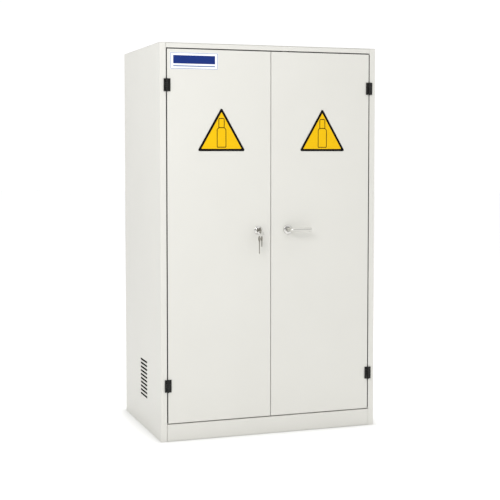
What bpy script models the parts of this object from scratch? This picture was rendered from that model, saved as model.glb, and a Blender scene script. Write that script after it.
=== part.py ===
"""A free-standing safety cabinet of folded sheet steel, with two inset doors.

The left door has a key lock and the right door a lever, which throws one bolt up and one down.
Metres, +Z up, the doors face -Y. The origin is on the floor, in the middle of the outline that
the closed cabinet covers together with its lever. At rest the doors are shut and nothing is locked.
"""
import math

import bmesh
import bpy
from mathutils import Matrix, Vector

# Carcass
WIDTH = 0.907
DEPTH = 0.600
HEIGHT = 1.550
SHEET = 0.0015  # thickness of the sheet steel
BEND = 0.002  # bend radius at the middle of the sheet
FIT = 0.0003  # gap kept between pieces that touch
STILE = 0.0245  # face width of the frame beside the doors
HEADER = 0.0205  # face height of the frame above the doors
KICK = 0.067  # face height of the rail below the doors
STOP = 0.012  # flange that the doors close in front of
REAR_FLANGE = 0.015
RAIL_STOP_DEPTH = 0.0276  # middle of the stop flange above and below the doors, behind the face
SIDE_STOP_DEPTH = 0.0301  # middle of the stop flange beside the doors, behind the face

# Side vents
VENT_COUNT = 10
VENT_LENGTH = 0.111
VENT_HEIGHT = 0.0090
VENT_PITCH = 0.0159
VENT_LOW = 0.131  # centre of the lowest slot
VENT_FRONT = 0.222  # front end of the slots, behind the face
BAFFLE_STANDOFF = 0.014
BAFFLE_FOOT = 0.012
BAFFLE_MARGIN = 0.010  # from the slots to the channel's walls

# Doors
GAP = 0.004
MEETING_GAP = 0.0025
DOOR_DEPTH = 0.024
DOOR_LIP = 0.012
STIFFENER_END = 0.050  # from the door's ends to the stiffener's
STIFFENER_WEB = 0.0195  # middle of the stiffener's crown, behind the face

# Hinges
HINGE_HEIGHTS = {"upper": 1.387, "lower": 0.219}
HINGE_HALF = 0.0245
KNUCKLE_RADIUS = 0.0045
KNUCKLE_HALF = 0.0081  # half of the middle knuckle
KNUCKLE_GAP = 0.0004
PIN_RADIUS = 0.0022
PIN_BORE = 0.0025
LEAF_START = 0.0048  # from the pin's axis to the plate
FRAME_LEAF = 0.012  # from the pin's axis to the leaf's far edge
DOOR_LEAF = 0.0145
LEAF_THICKNESS = 0.004

# Lever and bolts
HANDLE_PROUD = 0.045  # how far the lever stands out of the face
HANDLE_X = 0.072
HANDLE_Z = 0.820
SPINDLE_HOLE = 0.0075  # radius of the hole in the right door
LEVER_RADIUS = 0.0068
LEVER_LENGTH = 0.088
LEVER_BEND = 0.014
BOLT_TRAVEL = 0.018
BOLT_WIDTH = 0.018
BOLT_THICKNESS = 0.003
BOLT_DEPTH = 0.0100  # front of the bolts, behind the face
CRANK_PIN = 0.0025
BOLT_ROOM = 0.0015  # clearance round a bolt in its holes
KEEPER_HALF = 0.030
KEEPER_SPAN = (0.0035, 0.0225)  # behind the face
KEEPER_THICKNESS = 0.003
SLOT_SLACK = 0.0008
CRANK = BOLT_TRAVEL / math.sqrt(2)  # a quarter turn from 45 below level to 45 above

# Lock and keys
LOCK_X = -0.053
LOCK_Z = 0.820
PLUG_RADIUS = 0.0070
PLUG_FACE = 0.0045  # how far the plug stands out of the face
BARREL_RADIUS = 0.0095  # of the housing inside the door
BARREL_DEPTH = 0.0245
CAM_LENGTH = 0.070
CAM_WIDTH = 0.016
CAM_DEPTH = 0.0253
LOCK_HOLE = 0.0100  # radius of the hole in the left door
KEY_THICKNESS = 0.0024
KEY_BOW = 0.0125
KEY_BOW_OUT = 0.0225
KEY_HOLE = 0.0035
KEY_HOLE_OUT = 0.0295
RING_RADIUS = 0.013
RING_WIRE = 0.001

# Signs
SIGN_SIDE = 0.196
SIGN_CORNER = 0.005
SIGN_BASE_Z = 1.133
SIGN_SHIFT = 0.007  # to the right of each door's middle
PLATE_THICKNESS = 0.0008
NAME_PLATE = (0.193, 0.064)
NAME_PLATE_EDGE = 0.012  # from the door's hinge edge
NAME_PLATE_TOP = 0.013  # from the door's top edge

# Inside
SHELF_Z = 1.120
BAR_Z = 0.800
BAR_DEPTH = 0.300
BAR_RADIUS = 0.009
RUNNER_SPAN = (0.070, 0.530)  # behind the face
SHELF_SPAN = (0.050, 0.550)
SHELF_EDGE = 0.025  # height of the turned-down edges
TRAY_SPAN = (0.040, 0.585)
HAT_FOOT = 0.020  # width of a hat section's feet
HAT_HALF = 0.030  # half the width of its crown
CYLINDER_RAIL_HALF = 0.440
CYLINDER_RAIL_DEPTH = 0.030
HOOK_ROOM = 0.0035  # between the retaining bar and its cradle
HOOK_RISE = 0.020  # cradle's tips above the bar's height
TRAY_HALF = 0.415
TRAY_HEIGHT = 0.050

# Worked out from the sizes above
FRONT = -(DEPTH - HANDLE_PROUD) / 2
BACK = FRONT + DEPTH
THROUGH_SKIN = (FRONT - 0.01, FRONT + 0.01)  # reach of the cutters that go through a door's skin
INNER_SIDE = WIDTH / 2 - SHEET  # inner face of the side sheets
DOOR_OUTER = WIDTH / 2 - STILE - GAP
DOOR_TOP = HEIGHT - HEADER - GAP
DOOR_BOTTOM = KICK + GAP
DOOR_MIDDLE = (DOOR_OUTER + MEETING_GAP / 2) / 2
HINGE_X = WIDTH / 2 - STILE - GAP / 2
HINGE_Y = FRONT - FIT - LEAF_THICKNESS - 0.0007
SIDES = {"left": -1, "right": 1}


def new_collection(name):
    collection = bpy.data.collections.new(name)
    bpy.context.scene.collection.children.link(collection)
    return collection


def material(name, colour, roughness, metallic):
    paint = bpy.data.materials.new(name)
    paint.use_nodes = True
    shader = paint.node_tree.nodes["Principled BSDF"]
    shader.inputs["Base Color"].default_value = (*colour, 1)
    shader.inputs["Roughness"].default_value = roughness
    shader.inputs["Metallic"].default_value = metallic
    paint.diffuse_color = (*colour, 1)
    return paint


def behind(depth):
    """The Y of a depth behind the cabinet's face; a negative depth is in front of it."""
    return FRONT + depth


def add_piece(name, shape, finish, group, place=(0, 0, 0)):
    """Makes an object of a bmesh whose points are measured from its place."""
    mesh = bpy.data.meshes.new(name)
    shape.to_mesh(mesh)
    shape.free()
    mesh.materials.append(finish)
    piece = bpy.data.objects.new(name, mesh)
    piece.location = place
    group.objects.link(piece)
    if group is tools:
        piece.hide_render = True
        piece.display_type = "WIRE"
    return piece


def round_edges(shape, along, radius, segments):
    """Rounds a block's edges: those along one axis, or all of them."""
    edges = list(shape.edges)
    if along != "all":
        axis = "XYZ".index(along)
        edges = [e for e in edges if abs((e.verts[0].co - e.verts[1].co)[axis]) > 1e-6]
    bmesh.ops.bevel(shape, geom=edges, offset=radius, segments=segments, profile=0.5, affect="EDGES")


def block(name, low, high, finish, group, along="all", radius=0.0, segments=2):
    """A block between two corners, with its origin in its middle."""
    low, high = Vector(low), Vector(high)
    shape = bmesh.new()
    bmesh.ops.create_cube(shape, size=1.0)
    bmesh.ops.scale(shape, vec=high - low, verts=shape.verts)
    if radius:
        round_edges(shape, along, radius, segments)
    return add_piece(name, shape, finish, group, (low + high) / 2)


def disc(name, centre, radius, span, along, finish, group, segments=32):
    """A round bar or disc; its span is measured along its axis, in world coordinates."""
    axis = "XYZ".index(along)
    shape = bmesh.new()
    bmesh.ops.create_cone(
        shape, cap_ends=True, segments=segments, radius1=radius, radius2=radius,
        depth=abs(span[1] - span[0]),
    )
    turns = {
        "X": Matrix.Rotation(math.pi / 2, 3, "Y"),
        "Y": Matrix.Rotation(math.pi / 2, 3, "X"),
        "Z": Matrix.Identity(3),
    }
    bmesh.ops.transform(shape, matrix=turns[along].to_4x4(), verts=shape.verts)
    place = Vector(centre)
    place[axis] = (span[0] + span[1]) / 2
    piece = add_piece(name, shape, finish, group, place)
    smooth(piece)
    return piece


def smooth(piece):
    piece.data.shade_smooth()
    piece.data.set_sharp_from_angle(angle=math.radians(35))


def turned(name, outline, place, finish):
    """Turns a closed outline of (radius, distance in front of the face) about a line along Y."""
    shape = bmesh.new()
    points = [shape.verts.new((radius, 0, out)) for radius, out in outline]
    for start, end in zip(points, points[1:] + points[:1]):
        shape.edges.new((start, end))
    piece = add_piece(name, shape, finish, cabinet, place)
    piece.rotation_euler = (math.pi / 2, 0, 0)
    screw = piece.modifiers.new("turn", "SCREW")
    screw.steps = 32
    screw.render_steps = 32
    screw.use_merge_vertices = True
    screw.merge_threshold = 0.00001
    return piece


def rounded(corners, radius, steps=4):
    """A bent line in a plane: each inner corner becomes an arc that touches both its sides."""
    points = [Vector((*corner, 0)) for corner in corners]
    line = [points[0]]
    for before, corner, after in zip(points, points[1:], points[2:]):
        back = (before - corner).normalized()
        onward = (after - corner).normalized()
        half = back.angle(onward) / 2
        centre = corner + (back + onward).normalized() * radius / math.sin(half)
        start = (corner + back * radius / math.tan(half) - centre).normalized()
        end = (corner + onward * radius / math.tan(half) - centre).normalized()
        line += [centre + start.slerp(end, step / steps) * radius for step in range(steps + 1)]
    return line + [points[-1]]


def folded_sheet(name, corners, along, span, finish, bend=BEND):
    """Carries the bent middle line of a sheet along an axis and gives it the sheet's thickness.

    The corners are (y, z) for a sheet along X, (x, z) along Y and (x, y) along Z.
    """
    axis = "XYZ".index(along)

    def place(point):
        coordinates = [point.x, point.y]
        coordinates.insert(axis, span[0])
        return coordinates

    shape = bmesh.new()
    near = [shape.verts.new(place(point)) for point in rounded(corners, bend)]
    edges = [shape.edges.new(pair) for pair in zip(near, near[1:])]
    grown = bmesh.ops.extrude_edge_only(shape, edges=edges)["geom"]
    far = [thing for thing in grown if isinstance(thing, bmesh.types.BMVert)]
    travel = Vector((0, 0, 0))
    travel[axis] = span[1] - span[0]
    bmesh.ops.translate(shape, verts=far, vec=travel)
    piece = add_piece(name, shape, finish, cabinet)
    thickness = piece.modifiers.new("thickness", "SOLIDIFY")
    thickness.thickness = SHEET
    thickness.offset = 0
    thickness.use_even_offset = True
    smooth(piece)
    return piece


def boolean(piece, other, operation):
    change = piece.modifiers.new(other.name, "BOOLEAN")
    change.operation = operation
    change.object = other
    change.solver = "EXACT"


def cut(piece, *cutters):
    for cutter in cutters:
        boolean(piece, cutter, "DIFFERENCE")


def join(piece, *others):
    for other in others:
        boolean(piece, other, "UNION")


def world_place(thing):
    """Adds up the locations from a piece or an axis to the top of its tree."""
    place = thing.location.copy()
    while thing.parent:
        thing = thing.parent
        place += thing.location
    return place


def axis_at(name, place, parent=None):
    """An empty on a joint's axis, which carries the pieces that move on it."""
    empty = bpy.data.objects.new(name, None)
    empty.empty_display_size = 0.03
    cabinet.objects.link(empty)
    empty.location = place
    if parent:
        empty.location -= world_place(parent)
        empty.parent = parent
    return empty


def carry(empty, *pieces):
    """Hangs pieces, which stand at their world places, on an axis."""
    for piece in pieces:
        piece.location -= world_place(empty)
        piece.parent = empty


# Carcass


def vent_slots(side_name):
    """One slot, repeated upwards; it reaches through the side sheet."""
    side = SIDES[side_name]
    middle = side * (WIDTH / 2 - SHEET / 2)
    slot = block(
        side_name + "_vent_slots",
        (middle - 0.004, behind(VENT_FRONT), VENT_LOW - VENT_HEIGHT / 2),
        (middle + 0.004, behind(VENT_FRONT + VENT_LENGTH), VENT_LOW + VENT_HEIGHT / 2),
        steel, tools, along="X", radius=VENT_HEIGHT / 2 - 0.0001, segments=4,
    )
    stack = slot.modifiers.new("stack", "ARRAY")
    stack.count = VENT_COUNT
    stack.use_relative_offset = False
    stack.use_constant_offset = True
    stack.constant_offset_displace = (0, 0, VENT_PITCH)
    return slot


def side_panel(side_name):
    """One sheet: rear flange, side, front stile, door jamb and stop flange."""
    side = SIDES[side_name]
    outer = side * (WIDTH / 2 - SHEET / 2)
    jamb = side * (WIDTH / 2 - STILE + SHEET / 2)
    corners = [
        (side * (WIDTH / 2 - REAR_FLANGE), BACK - SHEET / 2),
        (outer, BACK - SHEET / 2),
        (outer, behind(SHEET / 2)),
        (jamb, behind(SHEET / 2)),
        (jamb, behind(SIDE_STOP_DEPTH)),
        (jamb - side * STOP, behind(SIDE_STOP_DEPTH)),
    ]
    panel = folded_sheet(side_name + "_side_panel", corners, "Z", (0, HEIGHT - SHEET - FIT), white_paint)
    cut(panel, vent_slots(side_name))


def top_panel():
    block(
        "top_panel", (-WIDTH / 2, FRONT, HEIGHT - SHEET), (WIDTH / 2, BACK, HEIGHT),
        white_paint, cabinet, along="Z", radius=BEND + SHEET / 2, segments=3,
    )


def back_panel():
    half = INNER_SIDE - BEND
    outer_face = BACK - SHEET - FIT
    block(
        "back_panel", (-half, outer_face - SHEET, 0), (half, outer_face, HEIGHT - SHEET - FIT),
        white_paint, cabinet,
    )


def floor_panel():
    front = behind(SIDE_STOP_DEPTH + SHEET + 2 * FIT)
    rear = BACK - 3 * SHEET - 3 * FIT
    flange = KICK - 0.025
    corners = [(front, flange), (front, KICK - SHEET / 2), (rear, KICK - SHEET / 2), (rear, flange)]
    half = INNER_SIDE - BEND
    folded_sheet("floor_panel", corners, "X", (-half, half), white_paint)


def bolt_hole(name, x, z):
    """Leaves a bolt a clear way through a sheet or plate at height z."""
    half_width = BOLT_WIDTH / 2 + BOLT_ROOM
    return block(
        name,
        (x - half_width, behind(BOLT_DEPTH - BOLT_ROOM), z - 0.006),
        (x + half_width, behind(BOLT_DEPTH + BOLT_THICKNESS + BOLT_ROOM), z + 0.006),
        steel, tools,
    )


def rail(name, end_z, face_z, inward, bolt_x):
    """The frame above or below the doors: an outer flange, the face, a return and a stop flange."""
    return_z = face_z + inward * -SHEET / 2
    corners = [
        (behind(0.020), end_z),
        (behind(SHEET / 2), end_z),
        (behind(SHEET / 2), return_z),
        (behind(RAIL_STOP_DEPTH), return_z),
        (behind(RAIL_STOP_DEPTH), return_z + inward * STOP),
    ]
    half = WIDTH / 2 - STILE - FIT
    piece = folded_sheet(name, corners, "X", (-half, half), white_paint)
    cut(piece, bolt_hole(name + "_bolt_hole", bolt_x, return_z))
    return return_z


def keeper(name, return_z, outward, bolt_x):
    """A plate with the bolt's hole, on the hidden side of a rail's return."""
    near = return_z + outward * (SHEET / 2 + FIT)
    far = near + outward * KEEPER_THICKNESS
    plate = block(
        name,
        (bolt_x - KEEPER_HALF, behind(KEEPER_SPAN[0]), min(near, far)),
        (bolt_x + KEEPER_HALF, behind(KEEPER_SPAN[1]), max(near, far)),
        zinc_plate, cabinet, along="Z", radius=0.003,
    )
    cut(plate, bolt_hole(name + "_hole", bolt_x, (near + far) / 2))


def vent_baffle(side_name):
    """A channel open above and below, which hides the slots' inner side."""
    side = SIDES[side_name]
    foot = side * (INNER_SIDE - FIT - SHEET / 2)
    web = foot - side * BAFFLE_STANDOFF
    near = behind(VENT_FRONT - BAFFLE_MARGIN)
    far = behind(VENT_FRONT + VENT_LENGTH + BAFFLE_MARGIN)
    corners = [
        (foot, near - BAFFLE_FOOT), (foot, near), (web, near),
        (web, far), (foot, far), (foot, far + BAFFLE_FOOT),
    ]
    top = VENT_LOW + VENT_PITCH * (VENT_COUNT - 1) + BAFFLE_FOOT
    folded_sheet(side_name + "_vent_baffle", corners, "Z", (VENT_LOW - BAFFLE_FOOT, top), vent_black)


def door_buffer(name, x, z):
    disc(name, (x, 0, z), 0.004, (behind(DOOR_DEPTH + 0.0004), behind(RAIL_STOP_DEPTH - SHEET / 2 - FIT)),
         "Y", rubber, cabinet, segments=20)


# Hinges


def knuckle(name, place, toward, low, high):
    """A barrel and the short web that ties it to its plate on one side."""
    barrel = disc(name + "_barrel", place, KNUCKLE_RADIUS, (low, high), "Z", hinge_black, tools, segments=20)
    start = place[0] + toward * 0.002
    end = place[0] + toward * (LEAF_START + 0.001)
    web = block(
        name + "_web",
        (min(start, end), behind(-FIT - LEAF_THICKNESS), low + FIT),
        (max(start, end), behind(-0.001), high - FIT),
        hinge_black, tools,
    )
    return barrel, web


def hinge_leaf(name, place, toward, reach, spans):
    """A plate beside the pin with one knuckle for each span of heights, bored for the pin."""
    near = place[0] + toward * LEAF_START
    far = place[0] + toward * reach
    low = place[2] - HINGE_HALF
    high = place[2] + HINGE_HALF
    plate = block(
        name, (min(near, far), behind(-FIT - LEAF_THICKNESS), low), (max(near, far), behind(-FIT), high),
        hinge_black, cabinet, along="all", radius=0.0008,
    )
    for number, (bottom, top) in enumerate(spans):
        join(plate, *knuckle(f"{name}_knuckle_{number}", place, toward, place[2] + bottom, place[2] + top))
    cut(plate, disc(name + "_bore", place, PIN_BORE, (low - 0.01, high + 0.01), "Z", hinge_black, tools, 20))
    return plate


def hinge(side_name, level):
    """A frame leaf with two knuckles, a door leaf with one between them, and a loose pin."""
    side = SIDES[side_name]
    name = f"{side_name}_{level}"
    place = (side * HINGE_X, HINGE_Y, HINGE_HEIGHTS[level])
    step = KNUCKLE_HALF + KNUCKLE_GAP
    outer = [(-HINGE_HALF, -step), (step, HINGE_HALF)]
    hinge_leaf(name + "_frame_leaf", place, side, FRAME_LEAF, outer)
    ends = (place[2] - HINGE_HALF, place[2] + HINGE_HALF)
    disc(name + "_hinge_pin", place, PIN_RADIUS, ends, "Z", zinc_plate, cabinet, segments=24)
    return hinge_leaf(name + "_door_leaf", place, -side, DOOR_LEAF, [(-KNUCKLE_HALF, KNUCKLE_HALF)])


# Doors


def door_pan(side_name):
    """A sheet folded into a shallow pan, with a lip turned inwards all round its back."""
    side = SIDES[side_name]
    inner = side * MEETING_GAP / 2
    outer = side * DOOR_OUTER
    left, right = min(inner, outer), max(inner, outer)
    name = side_name + "_door_pan"
    pan = block(
        name, (left, FRONT, DOOR_BOTTOM), (right, behind(DOOR_DEPTH), DOOR_TOP),
        white_paint, cabinet, radius=0.0012,
    )
    hollow = block(
        name + "_hollow",
        (left + SHEET, behind(SHEET), DOOR_BOTTOM + SHEET),
        (right - SHEET, behind(DOOR_DEPTH - SHEET), DOOR_TOP - SHEET),
        steel, tools,
    )
    rim = SHEET + DOOR_LIP
    mouth = block(
        name + "_mouth",
        (left + rim, behind(DOOR_DEPTH - 0.004), DOOR_BOTTOM + rim),
        (right - rim, behind(DOOR_DEPTH + 0.004), DOOR_TOP - rim),
        steel, tools,
    )
    cut(pan, hollow, mouth)
    return pan


def door_stiffener(side_name):
    """A hat section up the middle of the door's inner face."""
    middle = SIDES[side_name] * DOOR_MIDDLE
    foot = behind(SHEET + FIT + SHEET / 2)
    web = behind(STIFFENER_WEB)
    edge = HAT_HALF + HAT_FOOT
    corners = [
        (middle - edge, foot), (middle - HAT_HALF, foot), (middle - HAT_HALF, web),
        (middle + HAT_HALF, web), (middle + HAT_HALF, foot), (middle + edge, foot),
    ]
    ends = (DOOR_BOTTOM + STIFFENER_END, DOOR_TOP - STIFFENER_END)
    return folded_sheet(side_name + "_door_stiffener", corners, "Z", ends, white_paint)


def sign_plate(side_name):
    """A thin triangle with an upright point and rounded corners."""
    height = SIGN_SIDE * math.sqrt(3) / 2
    base = (0, 0)
    right = (SIGN_SIDE / 2, 0)
    left = (-SIGN_SIDE / 2, 0)
    outline = rounded([base, right, (0, height), left, base], SIGN_CORNER, 6)[:-1]
    curve = bpy.data.curves.new(side_name + "_sign_plate", "CURVE")
    curve.dimensions = "2D"
    curve.fill_mode = "BOTH"
    curve.extrude = PLATE_THICKNESS / 2
    curve.materials.append(sign_yellow)
    spline = curve.splines.new("POLY")
    spline.points.add(len(outline) - 1)
    for point, corner in zip(spline.points, outline):
        point.co = (corner.x, corner.y, 0, 1)
    spline.use_cyclic_u = True
    plate = bpy.data.objects.new(curve.name, curve)
    plate.rotation_euler = (math.pi / 2, 0, 0)
    middle = SIDES[side_name] * DOOR_MIDDLE + SIGN_SHIFT
    plate.location = (middle, behind(-FIT - PLATE_THICKNESS / 2), SIGN_BASE_Z)
    cabinet.objects.link(plate)
    return plate


def name_plate():
    left = -DOOR_OUTER + NAME_PLATE_EDGE
    top = DOOR_TOP - NAME_PLATE_TOP
    return block(
        "name_plate",
        (left, behind(-FIT - PLATE_THICKNESS), top - NAME_PLATE[1]),
        (left + NAME_PLATE[0], behind(-FIT), top),
        label_white, cabinet, along="Y", radius=0.002,
    )


# Lock


def lock_housing():
    bore = PLUG_RADIUS + FIT
    outline = [
        (bore, 0.0050), (0.0105, 0.0050), (0.0120, 0.0038), (0.0165, 0.0028),
        (0.0175, 0.0018), (0.0175, FIT), (BARREL_RADIUS, FIT), (BARREL_RADIUS, -BARREL_DEPTH),
        (bore, -BARREL_DEPTH),
    ]
    return turned("lock_housing", outline, (LOCK_X, FRONT, LOCK_Z), chrome)


def lock_nut():
    span = (behind(SHEET + FIT), behind(SHEET + FIT + 0.004))
    place = (LOCK_X, 0, LOCK_Z)
    nut = disc("lock_nut", place, 0.0150, span, "Y", zinc_plate, cabinet, segments=6)
    reach = (span[0] - 0.01, span[1] + 0.01)
    cut(nut, disc("lock_nut_bore", place, BARREL_RADIUS + FIT, reach, "Y", steel, tools))
    return nut


def lock_plug():
    place = (LOCK_X, 0, LOCK_Z)
    plug = disc("lock_plug", place, PLUG_RADIUS, (behind(-PLUG_FACE), behind(0.0248)), "Y", chrome, cabinet)
    join(plug, disc("lock_plug_tail", place, 0.004, (behind(0.0240), behind(0.0292)), "Y", chrome, tools))
    keyway = block(
        "keyway",
        (LOCK_X - 0.0015, behind(-0.006), LOCK_Z - 0.0047),
        (LOCK_X + 0.0015, behind(0.0205), LOCK_Z + 0.0047),
        steel, tools,
    )
    cut(plug, keyway)
    return plug


def lock_cam():
    """A flat tongue that hangs down when unlocked."""
    span = (behind(CAM_DEPTH), behind(CAM_DEPTH + 0.0025))
    tip_z = LOCK_Z - CAM_LENGTH + CAM_WIDTH / 2
    cam = disc("lock_cam", (LOCK_X, 0, LOCK_Z), 0.011, span, "Y", zinc_plate, cabinet)
    tongue = block(
        "lock_cam_tongue",
        (LOCK_X - CAM_WIDTH / 2, span[0], tip_z), (LOCK_X + CAM_WIDTH / 2, span[1], LOCK_Z),
        zinc_plate, tools,
    )
    tip = disc("lock_cam_tip", (LOCK_X, 0, tip_z), CAM_WIDTH / 2, span, "Y", zinc_plate, tools)
    join(cam, tongue, tip)
    cut(cam, disc("lock_cam_bore", (LOCK_X, 0, LOCK_Z), 0.0043, (span[0] - 0.01, span[1] + 0.01), "Y",
                  steel, tools))
    return cam


def door_key():
    """A flat key standing upright in the plug, seen edge-on from in front of the cabinet."""
    half = KEY_THICKNESS / 2
    bow = disc("door_key", (0, behind(-KEY_BOW_OUT), LOCK_Z), KEY_BOW, (LOCK_X - half, LOCK_X + half),
               "X", brass, cabinet)
    neck = block(
        "door_key_neck",
        (LOCK_X - half, behind(-0.013), LOCK_Z - 0.005),
        (LOCK_X + half, behind(-PLUG_FACE - 0.0005), LOCK_Z + 0.005),
        brass, tools,
    )
    blade = block(
        "door_key_blade",
        (LOCK_X - 0.0011, behind(-0.006), LOCK_Z - 0.0041),
        (LOCK_X + 0.0011, behind(0.0200), LOCK_Z + 0.0041),
        brass, tools,
    )
    hole = disc(
        "door_key_hole", (0, behind(-KEY_HOLE_OUT), LOCK_Z), KEY_HOLE,
        (LOCK_X - 0.01, LOCK_X + 0.01), "X", steel, tools, segments=24,
    )
    join(bow, neck, blade)
    cut(bow, hole)
    return bow


def ring_pivot():
    """The middle of the ring's wire where it hangs in the key's bow."""
    return (LOCK_X, behind(-KEY_HOLE_OUT), LOCK_Z - KEY_HOLE + RING_WIRE + FIT)


def key_ring():
    x, y, z = ring_pivot()
    bpy.ops.mesh.primitive_torus_add(
        major_radius=RING_RADIUS, minor_radius=RING_WIRE, major_segments=36, minor_segments=8,
        location=(x, y, z - RING_RADIUS), rotation=(math.pi / 2, 0, 0),
    )
    ring = bpy.context.object
    ring.name = "key_ring"
    ring.data.materials.append(chrome)
    ring.users_collection[0].objects.unlink(ring)
    cabinet.objects.link(ring)
    smooth(ring)
    return ring


def spare_key(name, offset, bow_radius, reach):
    """A flat key threaded on the ring at an offset from its middle, hanging edge-on."""
    x, y, z = ring_pivot()
    x += offset
    wire_z = z - RING_RADIUS - math.sqrt(RING_RADIUS ** 2 - offset ** 2)
    hole_z = wire_z - 0.001
    bow_z = hole_z - (bow_radius - KEY_HOLE - 0.0022)
    span = (x - 0.001, x + 0.001)
    key = disc(name, (0, y, bow_z), bow_radius, span, "X", brass, cabinet)
    blade = block(
        name + "_blade",
        (span[0], y - 0.004, LOCK_Z - reach),
        (span[1], y + 0.004, bow_z - bow_radius + 0.002),
        brass, tools, along="X", radius=0.0015,
    )
    join(key, blade)
    cut(key, disc(name + "_hole", (0, y, hole_z), KEY_HOLE, (x - 0.01, x + 0.01), "X", steel, tools, 24))
    return key


# Lever and bolts


def handle_rosette():
    bore = LEVER_RADIUS + 0.001
    outline = [
        (bore, 0.0073), (0.0150, 0.0073), (0.0180, 0.0058), (0.0190, 0.0032), (0.0190, FIT), (bore, FIT),
    ]
    return turned("handle_rosette", outline, (HANDLE_X, FRONT, HANDLE_Z), chrome)


def spindle_bush():
    front, rear = -SHEET - FIT, -SHEET - FIT - 0.004
    outline = [(0.0062, front), (0.0110, front), (0.0110, rear), (0.0062, rear)]
    return turned("spindle_bush", outline, (HANDLE_X, FRONT, HANDLE_Z), zinc_plate)


def lever_handle():
    """A round bar that comes straight out of the rosette and bends level."""
    out = HANDLE_PROUD - LEVER_RADIUS
    route = rounded([(0, -0.0015), (0, -out), (LEVER_LENGTH, -out)], LEVER_BEND, 7)
    curve = bpy.data.curves.new("lever_handle", "CURVE")
    curve.dimensions = "3D"
    curve.bevel_depth = LEVER_RADIUS
    curve.bevel_resolution = 4
    curve.use_fill_caps = True
    curve.materials.append(chrome)
    spline = curve.splines.new("POLY")
    spline.points.add(len(route) - 1)
    for point, corner in zip(spline.points, route):
        point.co = (corner.x, corner.y, 0, 1)
    lever = bpy.data.objects.new("lever_handle", curve)
    lever.location = (HANDLE_X, FRONT, HANDLE_Z)
    cabinet.objects.link(lever)
    return lever


def spindle():
    return block(
        "spindle",
        (HANDLE_X - 0.004, behind(-0.0012), HANDLE_Z - 0.004),
        (HANDLE_X + 0.004, behind(0.0093), HANDLE_Z + 0.004),
        zinc_plate, cabinet, along="Y", radius=0.0008,
    )


def bolt_cam():
    """A disc on the spindle with two crank pins, each 45 degrees short of level at rest."""
    place = (HANDLE_X, 0, HANDLE_Z)
    cam = disc("bolt_cam", place, 0.0185, (behind(0.0065), behind(0.0090)), "Y", zinc_plate, cabinet)
    offset = CRANK / math.sqrt(2)
    for name, sign in (("upper", -1), ("lower", 1)):
        pin_place = (HANDLE_X + sign * offset, 0, HANDLE_Z + sign * offset)
        join(cam, disc(name + "_crank_pin", pin_place, CRANK_PIN, (behind(0.0080), behind(0.0148)), "Y",
                       zinc_plate, tools, segments=20))
    square = block(
        "bolt_cam_square",
        (HANDLE_X - 0.0043, behind(0.004), HANDLE_Z - 0.0043),
        (HANDLE_X + 0.0043, behind(0.012), HANDLE_Z + 0.0043),
        steel, tools,
    )
    cut(cam, square)
    return cam


def bolt_middle(sign):
    """The X of a bolt: midway between its crank pin's nearest and furthest places."""
    return HANDLE_X + sign * (CRANK + CRANK / math.sqrt(2)) / 2


def bolt(name, sign, end_z):
    """A flat bar with a level slot for its crank pin; sign -1 is the upper bolt."""
    x = bolt_middle(sign)
    pin_z = HANDLE_Z + sign * CRANK / math.sqrt(2)
    tail_z = pin_z + sign * (CRANK_PIN + 0.006)
    bar = block(
        name,
        (x - BOLT_WIDTH / 2, behind(BOLT_DEPTH), min(tail_z, end_z)),
        (x + BOLT_WIDTH / 2, behind(BOLT_DEPTH + BOLT_THICKNESS), max(tail_z, end_z)),
        zinc_plate, cabinet, along="Y", radius=0.003,
    )
    half_length = (CRANK - CRANK / math.sqrt(2)) / 2 + CRANK_PIN + SLOT_SLACK
    half_height = CRANK_PIN + SLOT_SLACK
    slot = block(
        name + "_slot",
        (x - half_length, behind(BOLT_DEPTH - 0.005), pin_z - half_height),
        (x + half_length, behind(BOLT_DEPTH + BOLT_THICKNESS + 0.005), pin_z + half_height),
        steel, tools,
    )
    cut(bar, slot)
    return bar


def bolt_guide(name, x, z):
    """A strap over the bolt, with its feet on the door's inner face."""
    foot = behind(SHEET + FIT + SHEET / 2)
    web = behind(0.0168)
    corners = [
        (x - 0.025, foot), (x - 0.0125, foot), (x - 0.0125, web),
        (x + 0.0125, web), (x + 0.0125, foot), (x + 0.025, foot),
    ]
    return folded_sheet(name, corners, "Z", (z - 0.010, z + 0.010), zinc_plate)


# Inside


def shelf_runner(side_name):
    side = SIDES[side_name]
    wall = side * (INNER_SIDE - FIT - SHEET / 2)
    corners = [(wall, SHELF_Z - SHELF_EDGE), (wall, SHELF_Z), (wall - side * 0.022, SHELF_Z)]
    span = [behind(depth) for depth in RUNNER_SPAN]
    folded_sheet(side_name + "_shelf_runner", corners, "Y", span, white_paint)


def shelf():
    """A sheet with its front and rear edges turned down, resting on the runners."""
    z = SHELF_Z + SHEET + FIT
    front, rear = [behind(depth) for depth in SHELF_SPAN]
    corners = [(front, z - SHELF_EDGE), (front, z), (rear, z), (rear, z - SHELF_EDGE)]
    return folded_sheet("shelf", corners, "X", (-INNER_SIDE + 0.005, INNER_SIDE - 0.005), white_paint)


def spill_tray():
    low = (-TRAY_HALF, behind(TRAY_SPAN[0]), KICK + FIT)
    high = (TRAY_HALF, behind(TRAY_SPAN[1]), KICK + FIT + TRAY_HEIGHT)
    tray = block("spill_tray", low, high, galvanised, cabinet, along="Z", radius=0.006, segments=3)
    inner_low = [value + SHEET for value in low]
    inner_high = [high[0] - SHEET, high[1] - SHEET, high[2] + 0.010]
    cut(tray, block("spill_tray_hollow", inner_low, inner_high, steel, tools, "Z", 0.005, 3))
    return tray


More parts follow.
